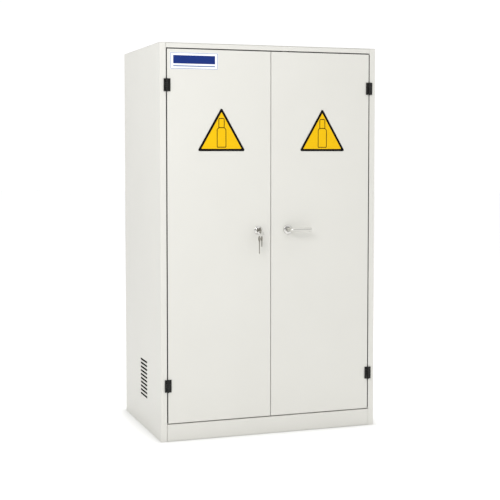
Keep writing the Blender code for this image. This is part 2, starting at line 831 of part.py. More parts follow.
def cylinder_rail():
    """A hat section across the back panel for the bottles to lean on."""
    foot = BACK - 2 * SHEET - 2 * FIT - SHEET / 2
    web = foot - CYLINDER_RAIL_DEPTH
    edge = HAT_HALF + HAT_FOOT
    corners = [
        (foot, BAR_Z - edge), (foot, BAR_Z - HAT_HALF), (web, BAR_Z - HAT_HALF),
        (web, BAR_Z + HAT_HALF), (foot, BAR_Z + HAT_HALF), (foot, BAR_Z + edge),
    ]
    span = (-CYLINDER_RAIL_HALF, CYLINDER_RAIL_HALF)
    folded_sheet("cylinder_rail", corners, "X", span, white_paint)


def bar_hook(side_name):
    """An open cradle on the side panel that holds one end of the retaining bar."""
    side = SIDES[side_name]
    half = BAR_RADIUS + HOOK_ROOM
    y = behind(BAR_DEPTH)
    corners = [
        (y - half, BAR_Z + HOOK_RISE), (y - half, BAR_Z - half),
        (y + half, BAR_Z - half), (y + half, BAR_Z + HOOK_RISE),
    ]
    ends = sorted((side * 0.428, side * (INNER_SIDE - FIT)))
    folded_sheet(side_name + "_bar_hook", corners, "X", ends, zinc_plate, bend=0.006)


def retaining_bar():
    """A tube across the cabinet, lying in its two cradles."""
    half = INNER_SIDE - 0.0015
    z = BAR_Z - HOOK_ROOM + SHEET / 2 + FIT
    place = (0, behind(BAR_DEPTH), z)
    bar = disc("retaining_bar", place, BAR_RADIUS, (-half, half), "X", zinc_plate, cabinet)
    ends = (-half - 0.01, half + 0.01)
    cut(bar, disc("retaining_bar_bore", place, BAR_RADIUS - SHEET, ends, "X", steel, tools))
    return bar


def build_carcass():
    for side_name in SIDES:
        side_panel(side_name)
        vent_baffle(side_name)
        shelf_runner(side_name)
        bar_hook(side_name)
    top_panel()
    back_panel()
    floor_panel()
    cylinder_rail()
    outer_flange = HEIGHT - SHEET - FIT - SHEET / 2
    header_z = rail("header_rail", outer_flange, HEIGHT - HEADER, -1, bolt_middle(-1))
    kick_z = rail("kick_rail", SHEET / 2, KICK, 1, bolt_middle(1))
    keeper("upper_keeper", header_z, 1, bolt_middle(-1))
    keeper("lower_keeper", kick_z, -1, bolt_middle(1))
    for side_name, side in SIDES.items():
        door_buffer(f"{side_name}_upper_buffer", side * 0.380, header_z - 0.0070)
        door_buffer(f"{side_name}_lower_buffer", side * 0.380, kick_z + 0.0070)


def build_left_door():
    door = axis_at("left_door_axis", (-HINGE_X, HINGE_Y, 0))
    pan = door_pan("left")
    cut(pan, disc("lock_hole", (LOCK_X, 0, LOCK_Z), LOCK_HOLE, THROUGH_SKIN, "Y", steel, tools))
    carry(door, pan, door_stiffener("left"), sign_plate("left"), name_plate(), lock_housing(), lock_nut())
    carry(door, *[hinge("left", level) for level in HINGE_HEIGHTS])
    lock = axis_at("lock_axis", (LOCK_X, FRONT, LOCK_Z), door)
    carry(lock, lock_plug(), lock_cam())
    key = axis_at("key_slide", (LOCK_X, FRONT, LOCK_Z), lock)
    carry(key, door_key())
    ring = axis_at("key_ring_axis", ring_pivot(), key)
    carry(ring, key_ring(), spare_key("long_spare_key", -0.006, 0.0115, 0.092),
          spare_key("short_spare_key", 0.004, 0.0100, 0.064))


def build_right_door():
    door = axis_at("right_door_axis", (HINGE_X, HINGE_Y, 0))
    pan = door_pan("right")
    cut(
        pan,
        disc("spindle_hole", (HANDLE_X, 0, HANDLE_Z), SPINDLE_HOLE, THROUGH_SKIN, "Y", steel, tools),
        bolt_hole("door_top_hole", bolt_middle(-1), DOOR_TOP),
        bolt_hole("door_bottom_hole", bolt_middle(1), DOOR_BOTTOM),
    )
    carry(door, pan, door_stiffener("right"), sign_plate("right"), handle_rosette(), spindle_bush())
    carry(door, bolt_guide("upper_bolt_guide", bolt_middle(-1), DOOR_TOP - 0.056))
    carry(door, bolt_guide("lower_bolt_guide", bolt_middle(1), DOOR_BOTTOM + 0.056))
    carry(door, *[hinge("right", level) for level in HINGE_HEIGHTS])
    lever = axis_at("lever_axis", (HANDLE_X, FRONT, HANDLE_Z), door)
    carry(lever, lever_handle(), spindle(), bolt_cam())
    bolts = (("upper_bolt", -1, DOOR_TOP - 0.0005), ("lower_bolt", 1, DOOR_BOTTOM + 0.0005))
    for name, sign, end_z in bolts:
        slide = axis_at(name + "_slide", (bolt_middle(sign), behind(BOLT_DEPTH), HANDLE_Z), door)
        carry(slide, bolt(name, sign, end_z))


def build_loose_pieces():
    for name, piece in (("shelf_lift", shelf()), ("tray_lift", spill_tray()), ("bar_lift", retaining_bar())):
        carry(axis_at(name, (0, 0, 0)), piece)


for old in list(bpy.data.objects):
    bpy.data.objects.remove(old)

cabinet = new_collection("safety_cabinet")
tools = new_collection("cutters")

white_paint = material("white_powder_coat", (0.83, 0.83, 0.80), 0.45, 0.0)
hinge_black = material("black_zinc_casting", (0.012, 0.012, 0.010), 0.45, 0.2)
chrome = material("chrome_plate", (0.80, 0.80, 0.82), 0.12, 1.0)
brass = material("nickel_plated_brass", (0.62, 0.60, 0.55), 0.28, 1.0)
zinc_plate = material("zinc_plated_steel", (0.60, 0.62, 0.64), 0.35, 1.0)
galvanised = material("galvanised_steel", (0.55, 0.57, 0.58), 0.45, 1.0)
sign_yellow = material("yellow_vinyl", (0.93, 0.57, 0.02), 0.35, 0.0)
label_white = material("white_vinyl", (0.90, 0.91, 0.93), 0.30, 0.0)
vent_black = material("black_mesh", (0.010, 0.010, 0.010), 0.60, 0.0)
rubber = material("black_rubber", (0.020, 0.020, 0.020), 0.80, 0.0)
steel = material("cutter", (0.5, 0.5, 0.5), 0.5, 1.0)

build_carcass()
build_left_door()
build_right_door()
build_loose_pieces()
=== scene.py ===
"""Surfaces, finishes and studio of a white two-door safety cabinet.

Metres, +Z up, the doors face -Y. Every new piece is a set of rings of points worked out as whole
arrays, and every finish is a node material with its pattern at its real size.
"""

import math

import bmesh
import bpy
import numpy as np
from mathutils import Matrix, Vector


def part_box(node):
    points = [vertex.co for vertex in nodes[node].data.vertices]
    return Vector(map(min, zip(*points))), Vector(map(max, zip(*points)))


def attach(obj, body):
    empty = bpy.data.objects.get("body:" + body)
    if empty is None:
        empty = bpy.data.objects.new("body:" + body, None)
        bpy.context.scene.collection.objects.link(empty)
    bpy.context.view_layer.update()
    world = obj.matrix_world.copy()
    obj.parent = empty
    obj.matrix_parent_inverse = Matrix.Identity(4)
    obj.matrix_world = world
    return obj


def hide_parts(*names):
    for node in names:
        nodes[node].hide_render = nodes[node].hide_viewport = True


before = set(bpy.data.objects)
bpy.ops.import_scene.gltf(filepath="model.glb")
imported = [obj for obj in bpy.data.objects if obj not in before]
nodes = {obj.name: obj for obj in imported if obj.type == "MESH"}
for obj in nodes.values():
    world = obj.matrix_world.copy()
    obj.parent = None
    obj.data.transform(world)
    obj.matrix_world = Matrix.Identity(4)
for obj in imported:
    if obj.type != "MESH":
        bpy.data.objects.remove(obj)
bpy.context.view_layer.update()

MM = 0.001
TURN = 2 * math.pi
FIT = 0.3 * MM  # gap kept to the sheet that a piece lies on
AXIS = 0.001 * MM  # radius that stands for zero where a turned profile meets its axis
MIX_FIRST, MIX_SECOND, MIX_RESULT = 6, 7, 2  # a mix node's colour sockets
FILM_GRAIN = 0.8 * MM
DOOR_LOW, DOOR_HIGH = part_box("left_door_pan")
FACE = DOOR_LOW[1]  # the doors' front


# Finishes


def linear(hex_colour):
    """An sRGB hex colour as the linear colour that a socket takes."""
    channels = [int(hex_colour[start:start + 2], 16) / 255 for start in (1, 3, 5)]
    return (*[c / 12.92 if c <= 0.04045 else ((c + 0.055) / 1.055) ** 2.4 for c in channels], 1)


def add(tree, kind, inputs=None, **settings):
    """One node with its settings; an input is a value or the output that feeds it."""
    node = tree.nodes.new(kind)
    for name, value in settings.items():
        setattr(node, name, value)
    for name, value in (inputs or {}).items():
        if isinstance(value, bpy.types.NodeSocket):
            tree.links.new(value, node.inputs[name])
        else:
            node.inputs[name].default_value = value
    return node


def new_material(name, **constants):
    """An empty material with its shader, and the coordinates of the object's own space."""
    material = bpy.data.materials.new(name)
    material.use_nodes = True
    tree = material.node_tree
    shader = tree.nodes["Principled BSDF"]
    for socket, value in constants.items():
        shader.inputs[socket.replace("_", " ")].default_value = value
    place = add(tree, "ShaderNodeTexCoord").outputs["Object"]
    return material, tree, shader, place


def mixed(tree, factor, first, second):
    """Goes from the first colour to the second as the factor goes from 0 to 1."""
    inputs = {"Factor": factor, MIX_FIRST: first, MIX_SECOND: second}
    return add(tree, "ShaderNodeMix", inputs, data_type="RGBA").outputs[MIX_RESULT]


def mottled(tree, place, colours, spacing):
    """Two near tones that drift into each other over the given distance."""
    cloud = add(tree, "ShaderNodeTexNoise", {"Vector": place, "Scale": 1 / spacing, "Detail": 3.0})
    return mixed(tree, cloud.outputs["Fac"], linear(colours[0]), linear(colours[1]))


def spread(tree, value, low, high):
    """Takes a pattern between 0.3 and 0.7 to the range low to high."""
    return add(
        tree, "ShaderNodeMapRange",
        {"Value": value, "From Min": 0.3, "From Max": 0.7, "To Min": low, "To Max": high},
    ).outputs["Result"]


def noise(tree, place, spacing, detail=2.0, stretch=(1, 1, 1)):
    """Noise whose lumps are one spacing apart; stretch draws them out along an axis."""
    drawn = add(tree, "ShaderNodeMapping", {"Vector": place, "Scale": stretch}).outputs["Vector"]
    scale = {"Vector": drawn, "Scale": 1 / spacing, "Detail": detail}
    return add(tree, "ShaderNodeTexNoise", scale).outputs["Fac"]


def bump(tree, shader, height, depth):
    """Relief of a real depth on the shader's normal."""
    relief = add(tree, "ShaderNodeBump", {"Height": height, "Distance": depth, "Strength": 1.0})
    tree.links.new(relief.outputs["Normal"], shader.inputs["Normal"])


def powder_coat(name, colours, roughness, peel, depth, drift=0.3, gloss=0.5):
    """Baked powder coat: an even tone, half-gloss, with the lumps of orange peel.

    Real peel is 1 to 2 mm from lump to lump; it is drawn a little coarser, so that it shows.
    """
    material, tree, shader, place = new_material(name, IOR=1.5, Specular_IOR_Level=gloss)
    tree.links.new(mottled(tree, place, colours, drift), shader.inputs["Base Color"])
    lumps = noise(tree, place, peel)
    tree.links.new(spread(tree, lumps, *roughness), shader.inputs["Roughness"])
    bump(tree, shader, lumps, depth)
    return material


def bright_metal(name, colours, roughness, spacing, stretch, depth):
    """Plated or drawn metal: a mirror broken by fine lines along one direction."""
    material, tree, shader, place = new_material(name, Metallic=1.0)
    tree.links.new(mottled(tree, place, colours, 12 * MM), shader.inputs["Base Color"])
    lines = noise(tree, place, spacing, 3.0, stretch)
    tree.links.new(spread(tree, lines, *roughness), shader.inputs["Roughness"])
    bump(tree, shader, lines, depth)
    return material


def spangled_zinc(name, colours, roughness, crystal):
    """Hot-dip zinc: flat crystals, each a slightly different grey and gloss."""
    material, tree, shader, place = new_material(name, Metallic=0.9)
    cells = add(tree, "ShaderNodeTexVoronoi", {"Vector": place, "Scale": 1 / crystal})
    tone = add(tree, "ShaderNodeSeparateColor", {"Color": cells.outputs["Color"]}).outputs["Red"]
    tint = mixed(tree, tone, linear(colours[0]), linear(colours[1]))
    tree.links.new(tint, shader.inputs["Base Color"])
    gloss = add(tree, "ShaderNodeMapRange", {"Value": tone, "To Min": roughness[0], "To Max": roughness[1]})
    tree.links.new(gloss.outputs["Result"], shader.inputs["Roughness"])
    bump(tree, shader, tone, 0.02 * MM)
    return material


def printed_film(name, colours, roughness):
    """Screen-printed vinyl or enamel: one dense colour with a faintly pebbled gloss."""
    material, tree, shader, place = new_material(name, IOR=1.5, Specular_IOR_Level=0.12)
    tree.links.new(mottled(tree, place, colours, 30 * MM), shader.inputs["Base Color"])
    pebbles = noise(tree, place, FILM_GRAIN)
    tree.links.new(spread(tree, pebbles, *roughness), shader.inputs["Roughness"])
    bump(tree, shader, pebbles, 0.01 * MM)
    return material


# Off-white polyester powder coat: clean, slightly warm, with a soft sheen
WHITE = powder_coat("white_powder_coat", ("#CECDC7", "#D2D1CB"), (0.40, 0.50), 2.2 * MM, 0.03 * MM)
# Black powder coat on cast hinges: near-black brown, half-gloss
HINGE = powder_coat(
    "black_powder_coat", ("#0C0B09", "#131210"), (0.30, 0.42), 1.2 * MM, 0.04 * MM, 8 * MM, 0.28)
# Matt black baffle behind the slots: next to no light comes back, and its black is a painted shade for the
# dark inside of the cabinet
BLACK_BAFFLE_SHADE = powder_coat(
    "matt_black_baffle_painted_shade", ("#0B0B0B", "#121211"), (0.75, 0.85), 1.5 * MM, 0.05 * MM, 20 * MM, 0.1)
# Polished chrome plate: a clear mirror with the faintest turning lines
CHROME = bright_metal("chrome_plate", ("#D8D7D3", "#CCCBC8"), (0.07, 0.14), 0.5 * MM, (1, 6, 1), 0.002 * MM)
# Satin chrome of the lever's grip: it takes the tone of the room without a clear image
SATIN = bright_metal("satin_chrome", ("#D2D1CB", "#C9C8C3"), (0.26, 0.36), 0.6 * MM, (1, 6, 1), 0.004 * MM)
# Nickel-plated key blanks: satin grey, drawn lengthwise
KEY = bright_metal("nickel_plated_key", ("#8A877F", "#9B988F"), (0.26, 0.38), 0.4 * MM, (6, 1, 1), 0.01 * MM)
# Bright zinc plate on bolts and fixings: bluish grey satin
ZINC = bright_metal(
    "bright_zinc_plate", ("#B4B9BE", "#C4C7C8"), (0.30, 0.44), 0.8 * MM, (1, 1, 0.3), 0.01 * MM)
# Galvanised spill tray: spangle of 9 mm crystals
GALVANISED = spangled_zinc("galvanised_steel", ("#A3A8AC", "#BCC0C2"), (0.32, 0.50), 9 * MM)
# Warning-yellow print
YELLOW = printed_film("yellow_print", ("#DEB005", "#E2B508"), (0.38, 0.48))
# Black print of the signs' rims
BLACK = printed_film("black_print", ("#020101", "#050302"), (0.45, 0.55))
# Thin dark-brown line of the symbol
BROWN = printed_film("brown_line_print", ("#241802", "#2C1F04"), (0.40, 0.50))
# White vinyl label
LABEL = printed_film("white_vinyl_label", ("#EBECF1", "#F0F1F6"), (0.30, 0.38))
# Blue print of the label's plain bar
NAVY = printed_film("blue_print", ("#15296A", "#1A3074"), (0.35, 0.45))
# Grey-blue print of the label's frame and thin bar
SLATE = printed_film("grey_blue_print", ("#566B92", "#62769B"), (0.35, 0.45))


def rubber():
    """Moulded EPDM rubber: dull charcoal with a fine sanded grain."""
    material, tree, shader, place = new_material("black_rubber", IOR=1.52)
    tree.links.new(mottled(tree, place, ("#1E1E1F", "#29292A"), 3 * MM), shader.inputs["Base Color"])
    grain = noise(tree, place, 0.4 * MM)
    tree.links.new(spread(tree, grain, 0.72, 0.88), shader.inputs["Roughness"])
    bump(tree, shader, grain, 0.03 * MM)
    return material


RUBBER = rubber()
FINISHES = {
    "white_paint": WHITE, "hinge_black": HINGE, "chrome": CHROME, "key_metal": KEY, "zinc_plate": ZINC,
    "galvanised": GALVANISED, "sign_yellow": YELLOW, "label_white": LABEL, "vent_black": BLACK_BAFFLE_SHADE,
    "rubber": RUBBER,
}


# Shapes


def skin(name, rings, finish, body, slot, stands_for=(), loop=False):
    """Quads from each ring of points to the next.

    rings has the shape (rings, points, 3), and each ring is closed. With loop the last ring joins
    the first, as on a torus; otherwise a fan to its middle closes each end.
    """
    rings = np.asarray(rings, dtype=float)
    count, width = rings.shape[:2]
    index = np.arange(count * width).reshape(count, width)
    near = index if loop else index[:-1]
    far = np.roll(index, -1, axis=0) if loop else index[1:]
    quads = np.stack([near, np.roll(near, -1, axis=1), np.roll(far, -1, axis=1), far], axis=-1)
    points = rings.reshape(-1, 3)
    faces = quads.reshape(-1, 4).tolist()
    if not loop:
        middles = np.stack([rings[0].mean(axis=0), rings[-1].mean(axis=0)])
        points = np.concatenate([points, middles])
        first, last = count * width, count * width + 1
        start, end = index[0], index[-1]
        faces += np.stack([np.roll(start, -1), start, np.full(width, first)], axis=-1).tolist()
        faces += np.stack([end, np.roll(end, -1), np.full(width, last)], axis=-1).tolist()
    return points, faces, (name, finish, body, slot, stands_for)


def piece(*shells, sharp=35):
    """Makes one object from one or more closed shells; the first shell says what it is."""
    name, finish, body, slot, stands_for = shells[0][2]
    points, faces, shift = [], [], 0
    for shell_points, shell_faces, _ in shells:
        points.append(shell_points)
        faces += [[corner + shift for corner in face] for face in shell_faces]
        shift += len(shell_points)
    mesh = bpy.data.meshes.new(name)
    mesh.from_pydata(np.concatenate(points).tolist(), [], faces)
    shape = bmesh.new()
    shape.from_mesh(mesh)
    bmesh.ops.recalc_face_normals(shape, faces=shape.faces)
    shape.to_mesh(mesh)
    shape.free()
    mesh.shade_smooth()
    mesh.set_sharp_from_angle(angle=math.radians(sharp))
    mesh.materials.append(finish)
    made = bpy.data.objects.new(name, mesh)
    bpy.context.scene.collection.objects.link(made)
    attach(made, body)
    if stands_for:
        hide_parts(*stands_for)
    return made


def rounded(corners, radii, steps=6):
    """A closed outline with an arc at each corner, and the outward normal at each of its points.

    Each arc's middle lies on the corner's bisector, at the radius over the sine of half the angle.
    Every corner gives the same number of points, so outlines with equal corners match in count.
    """
    corners = np.asarray(corners, dtype=float)
    radii = np.broadcast_to(np.asarray(radii, dtype=float), len(corners))[:, None]
    back = np.roll(corners, 1, axis=0) - corners
    onward = np.roll(corners, -1, axis=0) - corners
    back /= np.linalg.norm(back, axis=1, keepdims=True)
    onward /= np.linalg.norm(onward, axis=1, keepdims=True)
    half = np.arccos(np.clip((back * onward).sum(axis=1), -1, 1))[:, None] / 2
    bisector = back + onward
    bisector /= np.linalg.norm(bisector, axis=1, keepdims=True)
    centres = corners + bisector * radii / np.sin(half)
    cross = back[:, 0] * onward[:, 1] - back[:, 1] * onward[:, 0]
    side = np.where(cross < 0, 1.0, -1.0)[:, None]  # 1 where the outline turns left
    swing = (math.pi / 2 - half) * np.linspace(-1, 1, steps + 1)[None, :] * side
    cos, sin = np.cos(swing), np.sin(swing)
    out = -bisector
    arms = np.stack([out[:, :1] * cos - out[:, 1:] * sin, out[:, :1] * sin + out[:, 1:] * cos], axis=-1)
    points = centres[:, None, :] + arms * radii[:, None, :]
    normals = arms * side[:, None, :]
    return points.reshape(-1, 2), normals.reshape(-1, 2)


def rectangle(low, high):
    """The corners of an upright rectangle, anticlockwise."""
    return [(low[0], low[1]), (high[0], low[1]), (high[0], high[1]), (low[0], high[1])]


def triangle(middle, base, side):
    """The corners of an upright equal-sided triangle, anticlockwise."""
    return [(middle - side / 2, base), (middle + side / 2, base), (middle, base + side * math.sqrt(3) / 2)]


def on_face(points, height):
    """Puts (x, z) points at a height in front of the doors' face."""
    height = np.broadcast_to(height, points.shape[:-1])
    return np.stack([points[..., 0], FACE - height, points[..., 1]], axis=-1)


def plate_rings(corners, radius, low, high, edge, steps=6):
    """A flat plate: its outline at both faces, drawn in along a quarter circle at the front edge."""
    outline, normals = rounded(corners, radius, steps)
    angles = np.linspace(0, math.pi / 2, 5)
    inset = np.concatenate([[edge / 2, 0], edge * (1 - np.cos(angles))])
    height = np.concatenate([[low, low + edge / 2], high - edge + edge * np.sin(angles)])
    return on_face(outline[None] - normals[None] * inset[:, None, None], height[:, None])


def band_rings(outer, inner, low, high, edge):
    """A raised band between two matching outlines; its section is a box with its top edges eased."""
    across = np.array([0, 0, edge, 1 - edge, 1, 1])
    height = np.array([low, high - 0.05 * MM, high, high, high - 0.05 * MM, low])
    return on_face(outer[None] + (inner - outer)[None] * across[:, None, None], height[:, None])


def lathe(profile, centre, axis="Y", count=64):
    """Turns (radius, height) points about an axis; height runs to -Y, up for Z or to +X for X."""
    profile = np.asarray(profile, dtype=float)
    angle = np.linspace(0, TURN, count, endpoint=False)
    one = profile[:, :1] * np.cos(angle)
    two = profile[:, :1] * np.sin(angle)
    along = np.broadcast_to(profile[:, 1:], one.shape)
    order = {"Y": (one, -along, two), "Z": (one, two, along), "X": (along, one, two)}[axis]
    return np.stack(order, axis=-1) + np.asarray(centre)


def fillet(points, radii, steps=4):
    """Rounds the inner corners of an open (radius, height) profile."""
    points = np.asarray(points, dtype=float)
    loop, _ = rounded(points, radii, steps)
    arcs = loop.reshape(len(points), steps + 1, 2)
    return np.concatenate([points[:1], arcs[1:-1].reshape(-1, 2), points[-1:]])


def tube(path, across, up, wide, high, count=20, power=2.0):
    """Carries a superellipse along a path.

    across and up are the section's two directions at each point of the path, wide and high its
    half sizes there, and power 2 is an ellipse while a higher power is squarer.
    """
    angle = np.linspace(0, TURN, count, endpoint=False)
    cos, sin = np.cos(angle), np.sin(angle)
    x = np.sign(cos) * np.abs(cos) ** (2 / power)
    y = np.sign(sin) * np.abs(sin) ** (2 / power)
    wide = np.broadcast_to(wide, len(path))[:, None, None]
    high = np.broadcast_to(high, len(path))[:, None, None]
    return path[:, None] + across[:, None] * x[None, :, None] * wide + up[:, None] * y[None, :, None] * high


def directions(path, up):
    """The two directions across a path that lies square to one fixed direction."""
    along = np.gradient(path, axis=0)
    along /= np.linalg.norm(along, axis=1, keepdims=True)
    up = np.broadcast_to(up, path.shape)
    return np.cross(along, up), up


# Signs and name plate

PLATE_BACK, PLATE_FRONT = FIT, 1.1 * MM
PLATE_EASE = 0.3 * MM
SIGN_SIDE, SIGN_CORNER = 196 * MM, 5 * MM
RIM_WIDTH = 8.8 * MM
RIM_OVERLAP = 0.1 * MM  # how far the rim reaches past the plate's edge
RIM_RISE = 0.2 * MM  # how far the rim stands over the plate
PRINT_SINK, PRINT_RISE = 0.1 * MM, 0.12 * MM  # a printed line's foot and face, from the plate's front
LINE_HALF = 1.5 * MM
BOTTLE_FOOT = 6.5 * MM  # from the rim to the bottle
BOTTLE_HALF, BOTTLE_TALL = 18 * MM, 76 * MM
NECK_HALF, NECK_TOP = 11 * MM, 112 * MM
FOOT_CORNER, SHOULDER, NECK_CORNER = 1.6, 11, 5  # radii, in millimetres


def sign(side_name):
    """A yellow triangle with a black rim and a bottle drawn in one thin line."""
    low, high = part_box(side_name + "_sign_plate")
    middle, base = (low[0] + high[0]) / 2, low[2]
    body = side_name + "_door"
    name = side_name + "_sign"
    corners = triangle(middle, base, SIGN_SIDE)
    plate = plate_rings(corners, SIGN_CORNER, PLATE_BACK, PLATE_FRONT, PLATE_EASE)
    piece(skin(name + "_plate", plate, YELLOW, body, "sign_yellow", [side_name + "_sign_plate"]))
    outer_side = SIGN_SIDE + 4 * RIM_OVERLAP
    outer, _ = rounded(triangle(middle, base - RIM_OVERLAP, outer_side), SIGN_CORNER)
    inner_side = SIGN_SIDE - 2 * math.sqrt(3) * RIM_WIDTH
    inner, _ = rounded(triangle(middle, base + RIM_WIDTH, inner_side), 1.5 * MM)
    rim = band_rings(outer, inner, PLATE_BACK + RIM_OVERLAP, PLATE_FRONT + RIM_RISE, 0.02)
    piece(skin(name + "_rim", rim, BLACK, body, "hinge_black", loop=True))
    foot = base + RIM_WIDTH + BOTTLE_FOOT
    shoulder = foot + BOTTLE_TALL
    parts = {
        "bottle": (BOTTLE_HALF, foot, shoulder, SHOULDER),
        "neck": (NECK_HALF, shoulder, foot + NECK_TOP, NECK_CORNER),
    }
    for part, (half, start, end, top_radius) in parts.items():
        radii = np.array((FOOT_CORNER, FOOT_CORNER, top_radius, top_radius)) * MM
        line, normals = rounded(rectangle((middle - half, start), (middle + half, end)), radii)
        rings = band_rings(
            line + normals * LINE_HALF, line - normals * LINE_HALF,
            PLATE_FRONT - PRINT_SINK, PLATE_FRONT + PRINT_RISE, 0.1,
        )
        piece(skin(f"{name}_{part}_line", rings, BROWN, body, "hinge_black", loop=True))


LABEL_CORNER = 2 * MM
FRAME_LINE = (1.4 * MM, 3.2 * MM)  # the frame's two edges, from the label's edge
BAR_RISE = 0.14 * MM
BARS = {
    # finish, then the lower left and upper right corners in millimetres from the label's own
    "label_bar": (NAVY, (12, 21), (181, 53)),
    "label_line": (SLATE, (12, 10), (181, 14)),
}


def label():
    """A white plate with a thin frame, a plain blue bar and a thin grey-blue one under it."""
    low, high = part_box("name_plate")
    corners = rectangle((low[0], low[2]), (high[0], high[2]))
    plate = plate_rings(corners, LABEL_CORNER, PLATE_BACK, PLATE_FRONT, PLATE_EASE)
    piece(skin("label_plate", plate, LABEL, "left_door", "label_white", ["name_plate"]))
    line, normals = rounded(corners, LABEL_CORNER)
    frame_rings = band_rings(
        line - normals * FRAME_LINE[0], line - normals * FRAME_LINE[1],
        PLATE_FRONT - PRINT_SINK, PLATE_FRONT + PRINT_RISE, 0.1,
    )
    piece(skin("label_frame", frame_rings, SLATE, "left_door", "label_white", loop=True))
    for name, (ink, start, end) in BARS.items():
        box = rectangle((low[0] + start[0] * MM, low[2] + start[1] * MM),
                        (low[0] + end[0] * MM, low[2] + end[1] * MM))
        rings = plate_rings(
            box, 1.2 * MM, PLATE_FRONT - PRINT_SINK, PLATE_FRONT + BAR_RISE, 0.08 * MM)
        piece(skin(name, rings, ink, "left_door", "label_white"))


for side_name in ("left", "right"):
    sign(side_name)
label()


# Hinges

HINGE_HALF = 24.5 * MM
KNUCKLE_HALF = 8.1 * MM
KNUCKLE_GAP = 0.4 * MM
BARREL = 4.5 * MM
BARREL_EASE = 0.7 * MM
LEAF_THICK = 4.0 * MM
LEAF_START = 4.8 * MM  # from the pin's axis to the plate's near edge
FRAME_REACH, DOOR_REACH = 12 * MM, 14.5 * MM  # and to its far edge
WEB_START, WEB_END = 1.5 * MM, 6.0 * MM
PIN_HEAD, PIN_SHANK = 3.4 * MM, 2.2 * MM
PIN_DOME = 1.1 * MM


def barrel(axis, low, high):
    """A knuckle turned about the pin, with both rims eased along a quarter circle."""
    profile = fillet([(AXIS, low), (BARREL, low), (BARREL, high), (AXIS, high)], BARREL_EASE)
    return lathe(profile, (axis[0], axis[1], 0), "Z", 40)


def leaf(name, body, axis, toward, reach, spans, middle, stands_for):
    """A plate with eased edges, and on the pin's side its knuckles with a web to each."""
    near, far = sorted((axis[0] + toward * LEAF_START, axis[0] + toward * reach))
    corners = rectangle((near, middle - HINGE_HALF), (far, middle + HINGE_HALF))
    shells = [skin(name, plate_rings(corners, 1.0 * MM, FIT, FIT + LEAF_THICK, 0.9 * MM), HINGE, body,
                   "hinge_black", stands_for)]
    for low, high in spans:
        shells.append(skin("", barrel(axis, middle + low, middle + high), HINGE, body, "hinge_black"))
        start, end = sorted((axis[0] + toward * WEB_START, axis[0] + toward * WEB_END))
        web = rectangle((start, middle + low + FIT), (end, middle + high - FIT))
        rings = plate_rings(web, 0.4 * MM, 1.2 * MM, FIT + LEAF_THICK - 0.2 * MM, 0.3 * MM)
        shells.append(skin("", rings, HINGE, body, "hinge_black"))
    piece(*shells)


def hinge(side_name, level):
    """A frame leaf with two knuckles, a door leaf with the one between, and a pin with round ends."""
    side = {"left": -1, "right": 1}[side_name]
    name = f"{side_name}_{level}"
    low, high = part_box(name + "_hinge_pin")
    axis = ((low[0] + high[0]) / 2, (low[1] + high[1]) / 2)
    middle = (low[2] + high[2]) / 2
    step = KNUCKLE_HALF + KNUCKLE_GAP
    outer = [(-HINGE_HALF, -step), (step, HINGE_HALF)]
    leaf(name + "_hinge_frame_half", "carcass", axis, side, FRAME_REACH, outer, middle,
         [name + "_frame_leaf"])
    leaf(name + "_hinge_door_half", side_name + "_door", axis, -side, DOOR_REACH,
         [(-KNUCKLE_HALF, KNUCKLE_HALF)], middle, [name + "_door_leaf"])
    top = HINGE_HALF + 0.1 * MM
    angle = np.linspace(0, math.pi / 2, 7)
    dome = np.stack([PIN_HEAD * np.cos(angle) + AXIS, top + PIN_DOME * np.sin(angle)], axis=-1)
    shank = [(PIN_SHANK, -top + 0.2 * MM), (PIN_SHANK, top - 0.2 * MM)]
    profile = np.concatenate([dome[::-1] * (1, -1), shank, dome])
    piece(skin(name + "_pin", lathe(profile, (*axis, middle), "Z", 32), HINGE, "carcass", "hinge_black",
               [name + "_hinge_pin"]))


for side_name in ("left", "right"):
    for level in ("upper", "lower"):
        hinge(side_name, level)


# Lock and keys

lock_low, lock_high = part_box("lock_housing")
LOCK_X, LOCK_Z = (lock_low[0] + lock_high[0]) / 2, (lock_low[2] + lock_high[2]) / 2
NUT_RADIUS, NUT_BORE, NUT_EASE = 15 * MM, 9.8 * MM, 0.3 * MM
KEY_HOLE = 3.5 * MM
KEY_HOLE_OUT = 29.5 * MM  # from the doors' face
HOLE_RIM = 2.2 * MM  # metal over the hole of a spare key
RING_RADIUS = 13 * MM
RING_WIRE = 0.7 * MM
RING_STEPS = 161
BLADE_OUT, BLADE_IN = 12.5 * MM, 20 * MM  # the door key's blade, from the doors' face
# Cuts of the keys: place as a share of the blade's length, and depth
CUTS = [(0.30, 1.4 * MM), (0.42, 0.9 * MM), (0.54, 1.8 * MM), (0.66, 1.1 * MM), (0.78, 1.6 * MM)]
CUT_SPAN = 0.09
TIP_START, HEEL_START = 0.93, 0.96  # where the two edges run in to the tip


